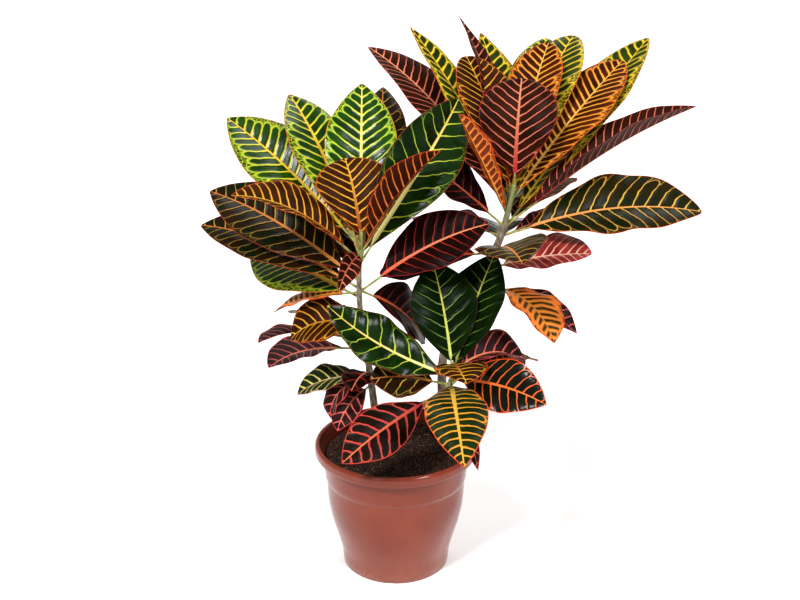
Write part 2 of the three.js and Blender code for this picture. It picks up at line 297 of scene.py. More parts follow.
cutter_mesh = bpy.data.meshes.new("cutters")
cutters.to_mesh(cutter_mesh)
cutters.free()
cutter = bpy.data.objects.new("cutters", cutter_mesh)
scene.collection.objects.link(cutter)
drill = pot.modifiers.new("drill", "BOOLEAN")
drill.operation, drill.object, drill.solver = "DIFFERENCE", cutter, "EXACT"
applied(pot)
bpy.data.objects.remove(cutter)
pot.data.set_sharp_from_angle(angle=radians(35))
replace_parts(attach(pot, "root"), "pot")


# ------------------------------------------------------------------ stems
# Three woody stems, grey-brown with leaf scars below and green at the tip. They come up out of the soil.
STEMS = {
    # points passed through, mm, and the radius at each
    "left": (
        [(-22, 25, 104), (-22, 25, 146), (-30, 8, 240), (-39, -2, 310), (-40, -18, 370), (-37, -20, 418)],
        [5.2, 5, 4, 3.2, 3, 2],
    ),
    "right": (
        [(58, 30, 104), (58, 30, 146), (58, 50, 250), (93, 54, 325), (120, 52, 388), (134, 50, 452)],
        [6.4, 6.2, 5.2, 4.8, 4.4, 2.4],
    ),
    "low": (
        [
            (0, 32, 104),
            (0, 32, 146),
            (4, 27, 162),
            (22, 4, 194),
            (52, -35, 230),
            (61, -40, 248),
            (64, -41, 272),
        ],
        [5, 4.8, 4.6, 4.2, 3.6, 3.2, 2],
    ),
}
STEM_STEPS = 24  # between two of the points passed through
STEM_SIDES = 24
STEM_FOOT = 118  # mm, the height at which a stem starts, inside the soil
SCARS_APART = 9  # mm
SCAR_PROUD = 0.07  # how much a leaf scar thickens the stem
SLIMMER = 0.98  # of its solid's radius, at the tip
YOUNG_WOOD = 0.06  # m of greener wood below the tip


def tube(spine, radii, sides):
    """The points and faces of a closed tube along a spine, with a radius at each of its points."""
    points, faces = [], []
    spine = np.asarray(spine, float)
    ahead = np.gradient(spine, axis=0)
    ahead /= np.linalg.norm(ahead, axis=1)[:, None]
    side = np.cross(ahead[0], (0.3, 1, 0.2))
    for centre, along, radius in zip(spine, ahead, radii):
        side = side - along * (side @ along)
        side /= np.linalg.norm(side)
        other = np.cross(along, side)
        for turn in np.arange(sides) * tau / sides:
            points.append(centre + (side * cos(turn) + other * sin(turn)) * radius)
    for k in range(len(spine) - 1):
        for s in range(sides):
            a, b = k * sides + s, k * sides + (s + 1) % sides
            faces.append((a, b, b + sides, a + sides))
    faces.append(tuple(range(sides))[::-1])
    faces.append(tuple(range((len(spine) - 1) * sides, len(spine) * sides)))
    return points, faces


# Young wood: thin bark, grey-brown and finely cracked along the stem, greener towards the tip.
bark, tree, shader = finish("thin_grey_bark", 0.62)
place = add(tree, "ShaderNodeTexCoord").outputs["Object"]
stretch = add(tree, "ShaderNodeMapping", {"Vector": place, "Scale": (1.0, 1.0, 0.25)})
grain = add(tree, "ShaderNodeTexNoise", {"Vector": stretch.outputs[0], "Scale": 420.0, "Detail": 5.0})
tone = add(
    tree, "ShaderNodeValToRGB", {"Fac": grain.outputs["Fac"]}, stops=((0.35, "#4A3C30"), (0.68, "#93836E"))
)
green = add(tree, "ShaderNodeAttribute", attribute_name="young")
mixed = add(
    tree,
    "ShaderNodeMix",
    {"Factor": green.outputs["Fac"], 6: tone.outputs["Color"], 7: linear("#7F8A4A")},
    data_type="RGBA",
)
tree.links.new(mixed.outputs[2], shader.inputs["Base Color"])
bump = add(tree, "ShaderNodeBump", {"Height": grain.outputs["Fac"], "Strength": 0.5, "Distance": 0.0006})
tree.links.new(bump.outputs["Normal"], shader.inputs["Normal"])

SPINES = {}
for stem, (path, thickness) in STEMS.items():
    spine = through(np.array(path, float) * MM, STEM_STEPS)
    radii = np.interp(np.linspace(0, len(path) - 1, len(spine)), range(len(path)), thickness) * MM
    SPINES[stem] = spine
    shown = spine[:, 2] > STEM_FOOT * MM
    spine, radii = spine[shown], radii[shown]
    scars = 1 + SCAR_PROUD * np.maximum(0, np.cos(tau * spine[:, 2] / (SCARS_APART * MM))) ** 6
    radii = radii * scars * np.linspace(1, SLIMMER, len(radii))
    points, faces = tube(spine, radii, STEM_SIDES)
    wood = piece(f"stem_{stem}", points, faces, bark)
    young = wood.data.attributes.new("young", "FLOAT", "POINT")
    top = spine[-1, 2]
    young.data.foreach_set("value", [max(0.0, 1 - (top - p[2]) / YOUNG_WOOD) for p in points])
    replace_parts(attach(wood, "root"), f"leafy_stem_{stem}")


# ------------------------------------------------------------------ soil
# Peat-based potting mix, dark and damp, filled to a finger's width under the rim. Its top is strewn with
# crumbs of peat, bark fibres and a few pale grains of grit.
SOIL_HEIGHT = 142  # mm
SOIL_GAP = 0.3  # mm between the soil and the pot's floor
SIDE_GAP = 0.8  # mm between the soil and the pot's wall, which has more sides than the soil
SHOULDER = 6  # mm under the top at which the soil's side starts to round in
SOIL_SIDES = 96
SOIL_RING = 1.6  # mm between rings of points on the top
LUMPS = 1.6  # mm, height of the lumps on the top


def soil_lumps(x, y):
    """How much the soil's top stands above its mean height there, in mm."""
    return LUMPS * (sin(0.16 * x + 1) * cos(0.13 * y) + 0.6 * sin(0.31 * x - 0.27 * y))


wall_side = [(r - SIDE_GAP, z) for r, z in reversed(inner) if z < SOIL_HEIGHT - SHOULDER]
edge_radius = wall_side[-1][0]
soil_profile = [
    (0, POT_FLOOR + SOIL_GAP),
    (FOOT_RADIUS - WALL - 3.6, POT_FLOOR + SOIL_GAP),
    *wall_side,
    (edge_radius + 0.6, SOIL_HEIGHT - 2.5),
    *((r, SOIL_HEIGHT) for r in np.arange(edge_radius - 1, 0, -SOIL_RING)),
    (0, SOIL_HEIGHT),
]

# Damp peat: nearly black brown and rough, broken by fine crumbs, with painted shade darkening the hollows
# between them.
peat, tree, shader = finish("damp_peat", 0.95, Specular_IOR_Level=0.2)
place = add(tree, "ShaderNodeTexCoord").outputs["Object"]
crumb_relief_and_shade = add(tree, "ShaderNodeTexNoise", {"Vector": place, "Scale": 520.0, "Detail": 5.0, "Roughness": 0.7})
# Painted shade: the low parts of the crumb noise, which are the hollows of the bump, take the near-black tone
# over the peat's own brown.
tone = add(
    tree, "ShaderNodeValToRGB", {"Fac": crumb_relief_and_shade.outputs["Fac"]}, stops=((0.42, "#080403"), (0.68, "#56392B"))
)
tree.links.new(tone.outputs["Color"], shader.inputs["Base Color"])
bump = add(tree, "ShaderNodeBump", {"Height": crumb_relief_and_shade.outputs["Fac"], "Strength": 0.9, "Distance": 0.0015})
tree.links.new(bump.outputs["Normal"], shader.inputs["Normal"])

soil = turned("soil_body", soil_profile, SOIL_SIDES, peat)
for point in soil.data.vertices:
    if point.co.z > (SOIL_HEIGHT - 1) * MM:
        point.co.z += soil_lumps(point.co.x / MM, point.co.y / MM) * MM
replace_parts(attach(soil, "root"), "soil")

# Bark fibre and grit: matt and paler than the peat, each with two tones of its own.
strewn_finishes = {"peat": peat}
for key, name, roughness, scale, detail, dark, light in (
    ("fibre", "dry_bark_fibre", 0.85, 300.0, 3.0, "#3A2418", "#8A6648"),
    ("grit", "pale_grit", 0.8, 700.0, 2.0, "#6E5A48", "#B7A893"),
):
    strewn_finishes[key], tree, shader = finish(name, roughness)
    place = add(tree, "ShaderNodeTexCoord").outputs["Object"]
    mottle = add(tree, "ShaderNodeTexNoise", {"Vector": place, "Scale": scale, "Detail": detail})
    tone = add(
        tree, "ShaderNodeValToRGB", {"Fac": mottle.outputs["Fac"]}, stops=((0.35, dark), (0.65, light))
    )
    tree.links.new(tone.outputs["Color"], shader.inputs["Base Color"])

# The soil's top as a bare sheet, on which the crumbs, fibres and grains are strewn.
SHEET_RINGS, SHEET_TURNS = 24, 48
SHEET_MARGIN = 3  # mm left free inside the edge
across = np.linspace(0, (edge_radius - SHEET_MARGIN) * MM, SHEET_RINGS)
turns = np.arange(SHEET_TURNS) * tau / SHEET_TURNS
sheet_points = [(r * cos(t), r * sin(t)) for r in across[1:] for t in turns]
sheet_points = [(x, y, (SOIL_HEIGHT + soil_lumps(x / MM, y / MM)) * MM) for x, y in sheet_points]
sheet_faces = [
    (a + k, a + (k + 1) % SHEET_TURNS, a + SHEET_TURNS + (k + 1) % SHEET_TURNS, a + SHEET_TURNS + k)
    for a in range(0, len(sheet_points) - SHEET_TURNS, SHEET_TURNS)
    for k in range(SHEET_TURNS)
]

LIES_FLAT = 0.5  # radians, the most that a long fibre is tilted
DENT_SCALE = 900.0  # the dents are as fine as a crumb
STREWN = (
    # name, finish, how many to the square metre, smallest and largest radius in mm, length beside width, seed
    ("peat_crumbs", "peat", 190000, 0.55, 1.9, 1.3, 3),
    ("bark_fibres", "fibre", 22000, 0.25, 0.5, 13.0, 5),
    ("grit", "grit", 3500, 0.3, 0.7, 1.1, 7),
)
for name, key, density, smallest, largest, long_by, seed in STREWN:
    strewn = piece(name, sheet_points, sheet_faces)
    tree = bpy.data.node_groups.new(name, "GeometryNodeTree")
    sockets = {
        "Sheet": ("NodeSocketGeometry", None),
        "Density": ("NodeSocketFloat", density),
        "Smallest": ("NodeSocketFloat", smallest * MM),
        "Largest": ("NodeSocketFloat", largest * MM),
        "Long by": ("NodeSocketFloat", long_by),
        "Seed": ("NodeSocketInt", seed),
    }
    for socket, (kind, value) in sockets.items():
        tree.interface.new_socket(socket, in_out="INPUT", socket_type=kind)
    tree.interface.new_socket("Pieces", in_out="OUTPUT", socket_type="NodeSocketGeometry")
    given = add(tree, "NodeGroupInput").outputs
    spots = add(
        tree,
        "GeometryNodeDistributePointsOnFaces",
        {"Mesh": given["Sheet"], "Density": given["Density"], "Seed": given["Seed"]},
    )
    lump = add(tree, "GeometryNodeMeshIcoSphere", {"Radius": 1.0, "Subdivisions": 1}).outputs["Mesh"]
    stretch = add(tree, "ShaderNodeCombineXYZ", {"X": given["Long by"], "Y": 1.0, "Z": 0.8}).outputs[0]
    drawn = add(tree, "GeometryNodeTransform", {"Geometry": lump, "Scale": stretch}).outputs["Geometry"]
    tilt = LIES_FLAT if long_by > 2 else pi
    turn = add(
        tree,
        "FunctionNodeRandomValue",
        {"Max": (tilt, tilt, tau), "Seed": given["Seed"]},
        data_type="FLOAT_VECTOR",
    )
    size = add(
        tree,
        "FunctionNodeRandomValue",
        {2: given["Smallest"], 3: given["Largest"], "Seed": given["Seed"]},
        data_type="FLOAT",
    )
    placed = add(
        tree,
        "GeometryNodeInstanceOnPoints",
        {
            "Points": spots.outputs["Points"],
            "Instance": drawn,
            "Rotation": turn.outputs["Value"],
            "Scale": size.outputs[1],
        },
    )
    whole = add(tree, "GeometryNodeRealizeInstances", {"Geometry": placed.outputs["Instances"]})
    here = add(tree, "GeometryNodeInputPosition").outputs[0]
    dents = add(tree, "ShaderNodeTexNoise", {"Vector": here, "Scale": DENT_SCALE, "Detail": 1.0})
    shift = add(
        tree, "ShaderNodeVectorMath", {0: dents.outputs["Color"], 1: (0.5, 0.5, 0.5)}, operation="SUBTRACT"
    )
    shift = add(
        tree, "ShaderNodeVectorMath", {0: shift.outputs[0], "Scale": 1.6 * smallest * MM}, operation="SCALE"
    )
    dented = add(tree, "GeometryNodeSetPosition", {"Geometry": whole.outputs[0], "Offset": shift.outputs[0]})
    skinned = add(
        tree, "GeometryNodeSetMaterial", {"Geometry": dented.outputs[0], "Material": strewn_finishes[key]}
    )
    add(tree, "NodeGroupOutput", {"Pieces": skinned.outputs[0]})
    strew = strewn.modifiers.new("strew", "NODES")
    strew.node_group = tree
    for item in tree.interface.items_tree:
        if item.in_out == "INPUT" and sockets[item.name][1] is not None:
            strew[item.identifier] = sockets[item.name][1]
    applied(strewn)
    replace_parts(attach(strewn, "root"), "soil")


# ------------------------------------------------------------------ leaves
# Leathery, glossy leaves that grew with their stem, each on a short stalk. A leaf folds up a little on both
# sides of its midrib and its margin is gently waved. Its colour lies in the tissue: dark islands between
# bright side ribs, which fork and run together into a net near the margin.
USUAL = {
    "stalk": 25,  # mm from the stem to the blade
    "fold": 12,  # degrees that each half stands up from the midrib
    "twist": 0,  # degrees that the tip is rolled more than the base
    "wave": 1.5,  # mm that the margin rises and falls
    "peak": 1.12,  # the larger it is, the nearer the tip the blade is broadest
    "full": 0.86,  # the smaller it is, the blunter the blade's ends
    "rib": 1,  # how broad the midrib is beside the usual one
}
BLADE_STEP = 2.2  # mm along the blade from one row of points to the next
BLADE_COLUMNS = 26
COLUMNS_CROWD = 1.35  # above 1, they lie closer together beside the midrib
BROAD_LEAF = 70  # mm, from this width up the midrib and the stalk have their full thickness
DROOP_GROWS = 1.25  # above 1, a blade droops more and more towards its tip
BASE_HALF, TIP_HALF = 1.6, 0.35  # mm added to half the blade's width at its base, and everywhere
FLAT_LEAF = 0.62  # mm, thickness of the blade a fifth of the way to the margin
VALLEY = 0.1  # share of the half width over which the fold at the midrib is rounded
CROWN = 0.07  # how high each half arches, as a share of its width
WAVES = 3  # that the margin makes along the blade
RIPPLES = ((0.35, 2.3), (0.25, 4.7), (0.2, 7.9))  # height and number of the margin's finer ripples
RIB_HALF = 2.2  # mm, half the midrib's width at the base of a broad leaf
RIB_TAPER = 0.8  # share of its width that the midrib loses by the tip
RIB_ABOVE, RIB_BELOW = 0.22, 0.9  # how far it stands out of each face, in halves of its width
RIB_LEAN = radians(63)  # between a side rib and the midrib
RIB_CURVE = 0.16  # how much a side rib curves towards the tip
PUFF = 0.02  # how high the tissue puffs up, as a share of the space between side ribs
PATTERN_STARTS = 23  # places in the pattern at which a leaf may start
PATTERN_SHIFT = 40  # spaces between side ribs from one such place to the next
STALK_RADIUS = 1.25  # mm
STALK_UNDER = 9  # mm that the stalk runs on under the blade
STALK_SAG = 0.9  # mm
STALK_RINGS, STALK_SIDES = 13, 10

# A croton leaf's skin: a waxy cuticle over coloured tissue, so it has small, clear highlights above and is
# dull below. The tissue's colour follows the ribs: dark islands with rounded ends between bright side ribs,
# which fork and arch into one another before the margin, and a fine net of veins beyond the arches.
USUAL_FINISH = {
    "apart": 12,  # mm between side ribs
    "width": 1.5,  # mm, a side rib's coloured band near the midrib
    "arch": 0.66,  # share of the way to the margin at which an island starts to close
    "fade": 1.4,  # share of the way at which the ribs' colour has faded
    "net": 0.3,  # strength of the fine net beyond the arches
    "spread": 0.05,  # how far the flush reaches into the islands, in spaces between ribs
    "gloss": 0.32,  # roughness of the upper face
    "shine": 0.12,  # how strongly the cuticle reflects
}
DULL_BELOW = 0.55  # roughness of the lower face
FINISHES = {
    # The two tones of the islands, the flush beside the ribs, the ribs near the midrib and near the margin,
    # the midrib at its base and its tip, the margin line, and the islands and the ribs of the lower face.
    "yellow_netted": (
        "#0E2802 #1C3E04 #527A0E #D0BA28 #9CAA26 #DAB436 #D8A828 #B8621A #46581C #A89E34",
        {"apart": 13, "width": 2.1, "net": 0.9, "arch": 0.55, "gloss": 0.22, "shine": 0.26, "spread": 0.09},
    ),
    "pale_netted": (
        "#0C2602 #1A4006 #4C7A10 #D2CC46 #98B02E #DCD27C #D4CA5A #C08222 #46581C #A8A244",
        {"apart": 11.5, "width": 1.9, "net": 0.9, "arch": 0.6, "gloss": 0.2, "shine": 0.26, "spread": 0.08},
    ),
    "green_gold": (
        "#162202 #2A3806 #7A720E #DAB626 #CCAE2A #DAAC34 #DCB42E #B85C1C #44501A #B09634",
        {"apart": 12, "width": 2.1, "net": 0.9, "arch": 0.55, "spread": 0.13, "gloss": 0.3},
    ),
    "green_yellow": (
        "#061602 #0E2802 #1E3E08 #BEC036 #7C942E #DCD68A #D4AE42 #6E2C10 #3C481C #8E9636",
        {"apart": 18, "width": 1.3, "fade": 1.1, "arch": 0.72, "net": 0.2, "gloss": 0.22, "shine": 0.24},
    ),
    "dark_green": (
        "#041202 #0A1C02 #122C08 #80943E #385622 #C4CC6A #C4BE36 #2A2008 #2E3A1A #5E7030",
        {"apart": 13, "width": 0.9, "fade": 0.9, "net": 0.0, "arch": 0.85, "gloss": 0.3, "shine": 0.07},
    ),
    "olive_bronze": (
        "#0A1602 #240E02 #34260A #C49A36 #94722C #D68C44 #D47434 #8C3018 #3C2A1C #A46A28",
        {"apart": 15, "width": 1.2, "fade": 1.15, "arch": 0.7, "net": 0.15},
    ),
    "brown_gold": (
        "#220E02 #3A1A02 #5E2A06 #D89E2C #C08428 #80221C #DEA634 #B84A18 #3C2010 #B4682C",
        {"apart": 9.5, "width": 1.4, "arch": 0.74, "spread": 0.08, "gloss": 0.42, "shine": 0.05},
    ),
    "amber_gold": (
        "#2A0E02 #461A02 #883404 #DC9A34 #CA8028 #DEA64E #E0AA46 #C4521A #4A2810 #C07830",
        {"apart": 9, "width": 2.0, "net": 0.6, "arch": 0.62, "spread": 0.12, "gloss": 0.4, "shine": 0.05},
    ),
    "brown_orange": (
        "#220A02 #381202 #581A04 #D67232 #B05C2A #CE683A #DE802E #A83218 #3C1C10 #B85C30",
        {"apart": 9.5, "width": 1.3, "arch": 0.76, "spread": 0.08, "gloss": 0.42, "shine": 0.05},
    ),
    "brown_salmon": (
        "#1C0802 #301002 #521606 #D4765E #AE5642 #A21428 #DC9062 #7E1E18 #3E2622 #A85848",
        {"apart": 10.5, "width": 1.4, "arch": 0.78, "spread": 0.07, "gloss": 0.42, "shine": 0.05},
    ),
    "maroon_red": (
        "#0C0200 #180402 #2E0602 #AC2A1C #641218 #D45236 #DC9062 #7E1014 #240E10 #6E2420",
        {"apart": 12, "width": 1.1, "fade": 1.1, "arch": 0.85, "net": 0.05, "gloss": 0.4, "shine": 0.08},
    ),
    "black_crimson": (
        "#0C0602 #1A0C06 #3A0E0A #A82E34 #C24A34 #A62A36 #DA7A40 #C03A30 #241010 #8C2826",
        {"apart": 13, "width": 2.4, "net": 0.3, "arch": 0.75, "spread": 0.04, "gloss": 0.4, "shine": 0.08},
    ),
    "black_orange": (
        "#060A02 #0E1202 #48200A #DC5A28 #DA5C2C #DE642C #DE7230 #F04812 #281C0C #98461E",
        {"apart": 11.5, "width": 1.4, "net": 0.3, "arch": 0.78, "gloss": 0.24, "shine": 0.3},
    ),
    "green_orange": (
        "#0A1802 #182A04 #6A5A0C #DC982C #D8862C #DCAE40 #DCA436 #DC441C #3A3416 #A87228",
        {"apart": 11, "width": 1.9, "net": 0.4, "arch": 0.76, "spread": 0.06},
    ),
    "green_amber": (
        "#0A1602 #201802 #3A2A0A #CEA63A #B88034 #DC8E52 #DC9646 #C8481C #36301A #A87228",
        {"apart": 15, "width": 1.4, "arch": 0.72, "net": 0.15},
    ),
    "crimson": (
        "#6A1614 #94302C #B0584E #D4AA90 #CA7266 #D8B092 #CE9280 #A81E20 #7A2226 #D49A7A",
        {"apart": 10, "width": 1.6, "net": 0.05, "arch": 0.85, "gloss": 0.36},
    ),
    "purple_salmon": (
        "#1A0C0A #341816 #62302A #D45A52 #C05A58 #CC7C52 #CE645E #C83C3A #2E1A1C #B0544E",
        {"apart": 11, "width": 1.6, "net": 0.1, "arch": 0.78, "spread": 0.07, "gloss": 0.4, "shine": 0.08},
    ),
    "peach_netted": (
        "#1C1A06 #3A3A0C #E87420 #E09230 #DC7436 #E09C36 #DE7630 #DC3818 #6E2C12 #E07A34",
        {"apart": 9, "width": 2.4, "net": 0.7, "arch": 0.5, "spread": 0.25, "gloss": 0.38},
    ),
    "olive_cream": (
        "#141E10 #26321C #5E6634 #D4C868 #B8B260 #DAD29C #C89670 #B0604A #3E4630 #B0A860",
        {"apart": 10.5, "width": 1.8, "net": 0.1, "arch": 0.78, "gloss": 0.3},
    ),
    "sprout": (
        "#5C7020 #7A8C30 #9CA044 #B8B260 #B0965A #CAC888 #CE9062 #D07C44 #7E8A40 #C0B870",
        {"apart": 5, "width": 0.8, "net": 0.0, "gloss": 0.4},
    ),
}
finishes = {}
for name, (codes, own) in FINISHES.items():
    colours = [linear(code) for code in codes.split()]
    dark, light, flush, inner, outer, rib_base, rib_tip, margin, below, below_rib = colours
    own = {**USUAL_FINISH, **own}
    skin, tree, shader = finish(f"waxy_leaf_{name}", own["gloss"], IOR=1.4, Specular_IOR_Level=own["shine"])
    finishes[name] = skin
    known = {
        key: add(tree, "ShaderNodeAttribute", attribute_name=key).outputs["Fac"]
        for key in ("phase", "reach", "cross", "rim", "along", "left", "lower")
    }
    place = add(tree, "ShaderNodeTexCoord").outputs["Object"]
    # Side ribs wander a little. An island lies between two of them, with its own reach towards the margin.
    drift = add(tree, "ShaderNodeTexNoise", {"Vector": place, "Scale": 80.0, "Detail": 2.0}).outputs["Fac"]
    phase = add(tree, "ShaderNodeMath", {0: drift, 1: 0.4, 2: known["phase"]}, operation="MULTIPLY_ADD")
    phase = phase.outputs[0]
    from_rib = add(tree, "ShaderNodeMath", {0: phase, 1: 0.5}, operation="PINGPONG").outputs[0]
    island = add(tree, "ShaderNodeMath", {0: phase}, operation="FLOOR").outputs[0]
    island = add(tree, "ShaderNodeMath", {0: known["left"], 1: 0.37, 2: island}, operation="MULTIPLY_ADD")
    luck = add(tree, "ShaderNodeTexWhiteNoise", {"W": island.outputs[0]}, noise_dimensions="1D")
    luck = luck.outputs["Value"]
    late = add(tree, "ShaderNodeMath", {0: luck, 1: -0.3, 2: known["reach"]}, operation="MULTIPLY_ADD")
    late = late.outputs[0]
    closing = add(
        tree,
        "ShaderNodeMapRange",
        {"Value": late, "From Min": own["arch"] - 0.1, "From Max": own["arch"] + 0.16, "To Max": 0.5},
        clamp=False,
    ).outputs[0]
    closing = add(tree, "ShaderNodeMath", {0: closing, 1: 0.0}, operation="MAXIMUM").outputs[0]
    inside = add(tree, "ShaderNodeMath", {0: 0.5, 1: from_rib}, operation="SUBTRACT").outputs[0]
    oval = add(tree, "ShaderNodeCombineXYZ", {"X": inside, "Y": closing}).outputs[0]
    from_middle = add(tree, "ShaderNodeVectorMath", {0: oval}, operation="LENGTH").outputs["Value"]
    gap = add(tree, "ShaderNodeMath", {0: from_middle, 1: 0.5}, operation="SUBTRACT").outputs[0]
    gap = add(tree, "ShaderNodeMath", {0: gap}, operation="ABSOLUTE").outputs[0]
    # The net: irregular cells in the same coordinates, a third of the space between ribs across.
    row = add(tree, "ShaderNodeMath", {0: known["reach"], 1: 2.6}, operation="MULTIPLY").outputs[0]
    row = add(tree, "ShaderNodeMath", {0: known["left"], 1: 9.0, 2: row}, operation="MULTIPLY_ADD")
    cell = add(tree, "ShaderNodeCombineXYZ", {"X": phase, "Y": row.outputs[0]}).outputs[0]
    mesh_gap = add(
        tree,
        "ShaderNodeTexVoronoi",
        {"Vector": cell, "Scale": 3.1, "Randomness": 0.95},
        voronoi_dimensions="2D",
        feature="DISTANCE_TO_EDGE",
    ).outputs["Distance"]
    band = own["width"] / 2 / own["apart"]  # a side rib tapers outwards to a third of its width
    taper = add(
        tree, "ShaderNodeMapRange", {"Value": known["reach"], "To Min": 1.25 * band, "To Max": 0.42 * band}
    ).outputs[0]
    ratio = add(tree, "ShaderNodeMath", {0: gap, 1: taper}, operation="DIVIDE").outputs[0]
    mask = {}
    for key, value, start, end in (
        ("rib", ratio, 1.4, 0.8),
        ("visible", known["reach"], own["fade"], own["fade"] - 0.4),
        ("halo", gap, own["spread"] + band, band * 0.8),
        ("thread", mesh_gap, 0.14, 0.05),
        ("beyond", from_middle, 0.47, 0.53),
        ("midrib", known["cross"], 1.15, 0.85),
        ("edge", known["rim"], 1.1, 0.5),
        ("cushion", gap, 0.0, 0.3),
    ):
        mask[key] = add(
            tree,
            "ShaderNodeMapRange",
            {"Value": value, "From Min": start, "From Max": end},
            interpolation_type="SMOOTHSTEP",
        ).outputs[0]
    ribs, flushed, net = (
        add(tree, "ShaderNodeMath", {0: mask[one], 1: mask[other]}, operation="MULTIPLY").outputs[0]
        for one, other in (("rib", "visible"), ("halo", "visible"), ("thread", "beyond"))
    )
    net = add(tree, "ShaderNodeMath", {0: net, 1: own["net"]}, operation="MULTIPLY").outputs[0]
    lines = add(tree, "ShaderNodeMath", {0: ribs, 1: net}, operation="MAXIMUM").outputs[0]
    cloud = add(tree, "ShaderNodeTexNoise", {"Vector": place, "Scale": 45.0, "Detail": 3.0}).outputs["Fac"]
    cloud = add(tree, "ShaderNodeMapRange", {"Value": cloud, "From Min": 0.35, "From Max": 0.65}).outputs[0]
    rib_tone, midrib_tone = (
        add(tree, "ShaderNodeMix", {0: known[key], 6: near, 7: far}, data_type="RGBA").outputs[2]
        for key, near, far in (("reach", inner, outer), ("along", rib_base, rib_tip))
    )
    above = [(cloud, light), (flushed, flush), (lines, rib_tone), (mask["midrib"], midrib_tone)]
    under = [(lines, below_rib), (mask["midrib"], midrib_tone)]
    faces = []
    for tissue, layers in ((dark, above), (below, under)):
        for factor, over in (*layers, (mask["edge"], margin)):
            tissue = add(tree, "ShaderNodeMix", {0: factor, 6: tissue, 7: over}, data_type="RGBA").outputs[2]
        faces.append(tissue)
    tissue = add(tree, "ShaderNodeMix", {0: known["lower"], 6: faces[0], 7: faces[1]}, data_type="RGBA")
    tree.links.new(tissue.outputs[2], shader.inputs["Base Color"])
    dull = add(
        tree, "ShaderNodeMapRange", {"Value": known["lower"], "To Min": own["gloss"], "To Max": DULL_BELOW}
    )
    tree.links.new(dull.outputs[0], shader.inputs["Roughness"])
    # The tissue between the ribs puffs up, and the cuticle has a fine leathery grain.
    grain = add(tree, "ShaderNodeTexNoise", {"Vector": place, "Scale": 320.0, "Detail": 3.0}).outputs["Fac"]
    relief = add(tree, "ShaderNodeMath", {0: grain, 1: 0.3, 2: mask["cushion"]}, operation="MULTIPLY_ADD")
    bump = add(tree, "ShaderNodeBump", {"Height": relief.outputs[0], "Strength": 0.5, "Distance": 0.0008})
    tree.links.new(bump.outputs["Normal"], shader.inputs["Normal"])

# A leaf stalk: smooth, fleshy and pale, faintly mottled green.
stalk_skin, tree, shader = finish("smooth_pale_stalk", 0.45, Specular_IOR_Level=0.35)
place = add(tree, "ShaderNodeTexCoord").outputs["Object"]
mottle = add(tree, "ShaderNodeTexNoise", {"Vector": place, "Scale": 150.0, "Detail": 3.0})
tone = add(
    tree, "ShaderNodeValToRGB", {"Fac": mottle.outputs["Fac"]}, stops=((0.35, "#5E6422"), (0.65, "#AEA455"))
)
tree.links.new(tone.outputs["Color"], shader.inputs["Base Color"])
bump = add(tree, "ShaderNodeBump", {"Height": mottle.outputs["Fac"], "Strength": 0.2, "Distance": 0.0004})
tree.links.new(bump.outputs["Normal"], shader.inputs["Normal"])


def leaf_axes(heading, rise, roll):
    """A leaf's directions at rows of points: along it, across to its left, and out of its upper face."""
    h, r, q = (np.radians(a)[:, None] for a in (heading, rise, roll))
    along = np.hstack([np.cos(r) * np.cos(h), np.cos(r) * np.sin(h), np.sin(r)])
    level = np.hstack([-np.sin(h), np.cos(h), 0 * h])
    across = level * np.cos(q) + np.cross(along, level) * np.sin(q)
    return along, across, np.cross(along, across)


def node_on(stem, height):
    """The point of a stem's middle line at that height in mm."""
    spine = SPINES[stem] / MM
    return np.array([np.interp(height, spine[:, 2], spine[:, k]) for k in range(3)])


def blade_faces(steps):
    """The faces of a blade: its upper and lower skin, and the edge that joins them all round."""

    def at(skin, i, j):
        return (skin * (steps + 1) + i) * (BLADE_COLUMNS + 1) + j

    faces = []
    for i in range(steps):
        for j in range(BLADE_COLUMNS):
            faces.append((at(0, i, j), at(0, i + 1, j), at(0, i + 1, j + 1), at(0, i, j + 1))[::-1])
            faces.append((at(1, i, j), at(1, i + 1, j), at(1, i + 1, j + 1), at(1, i, j + 1)))
        for j, flip in ((0, 1), (BLADE_COLUMNS, -1)):
            faces.append((at(0, i, j), at(0, i + 1, j), at(1, i + 1, j), at(1, i, j))[::flip])
    for j in range(BLADE_COLUMNS):
        for i, flip in ((0, 1), (steps, -1)):
            faces.append((at(0, i, j), at(0, i, j + 1), at(1, i, j + 1), at(1, i, j))[::flip])
    return faces


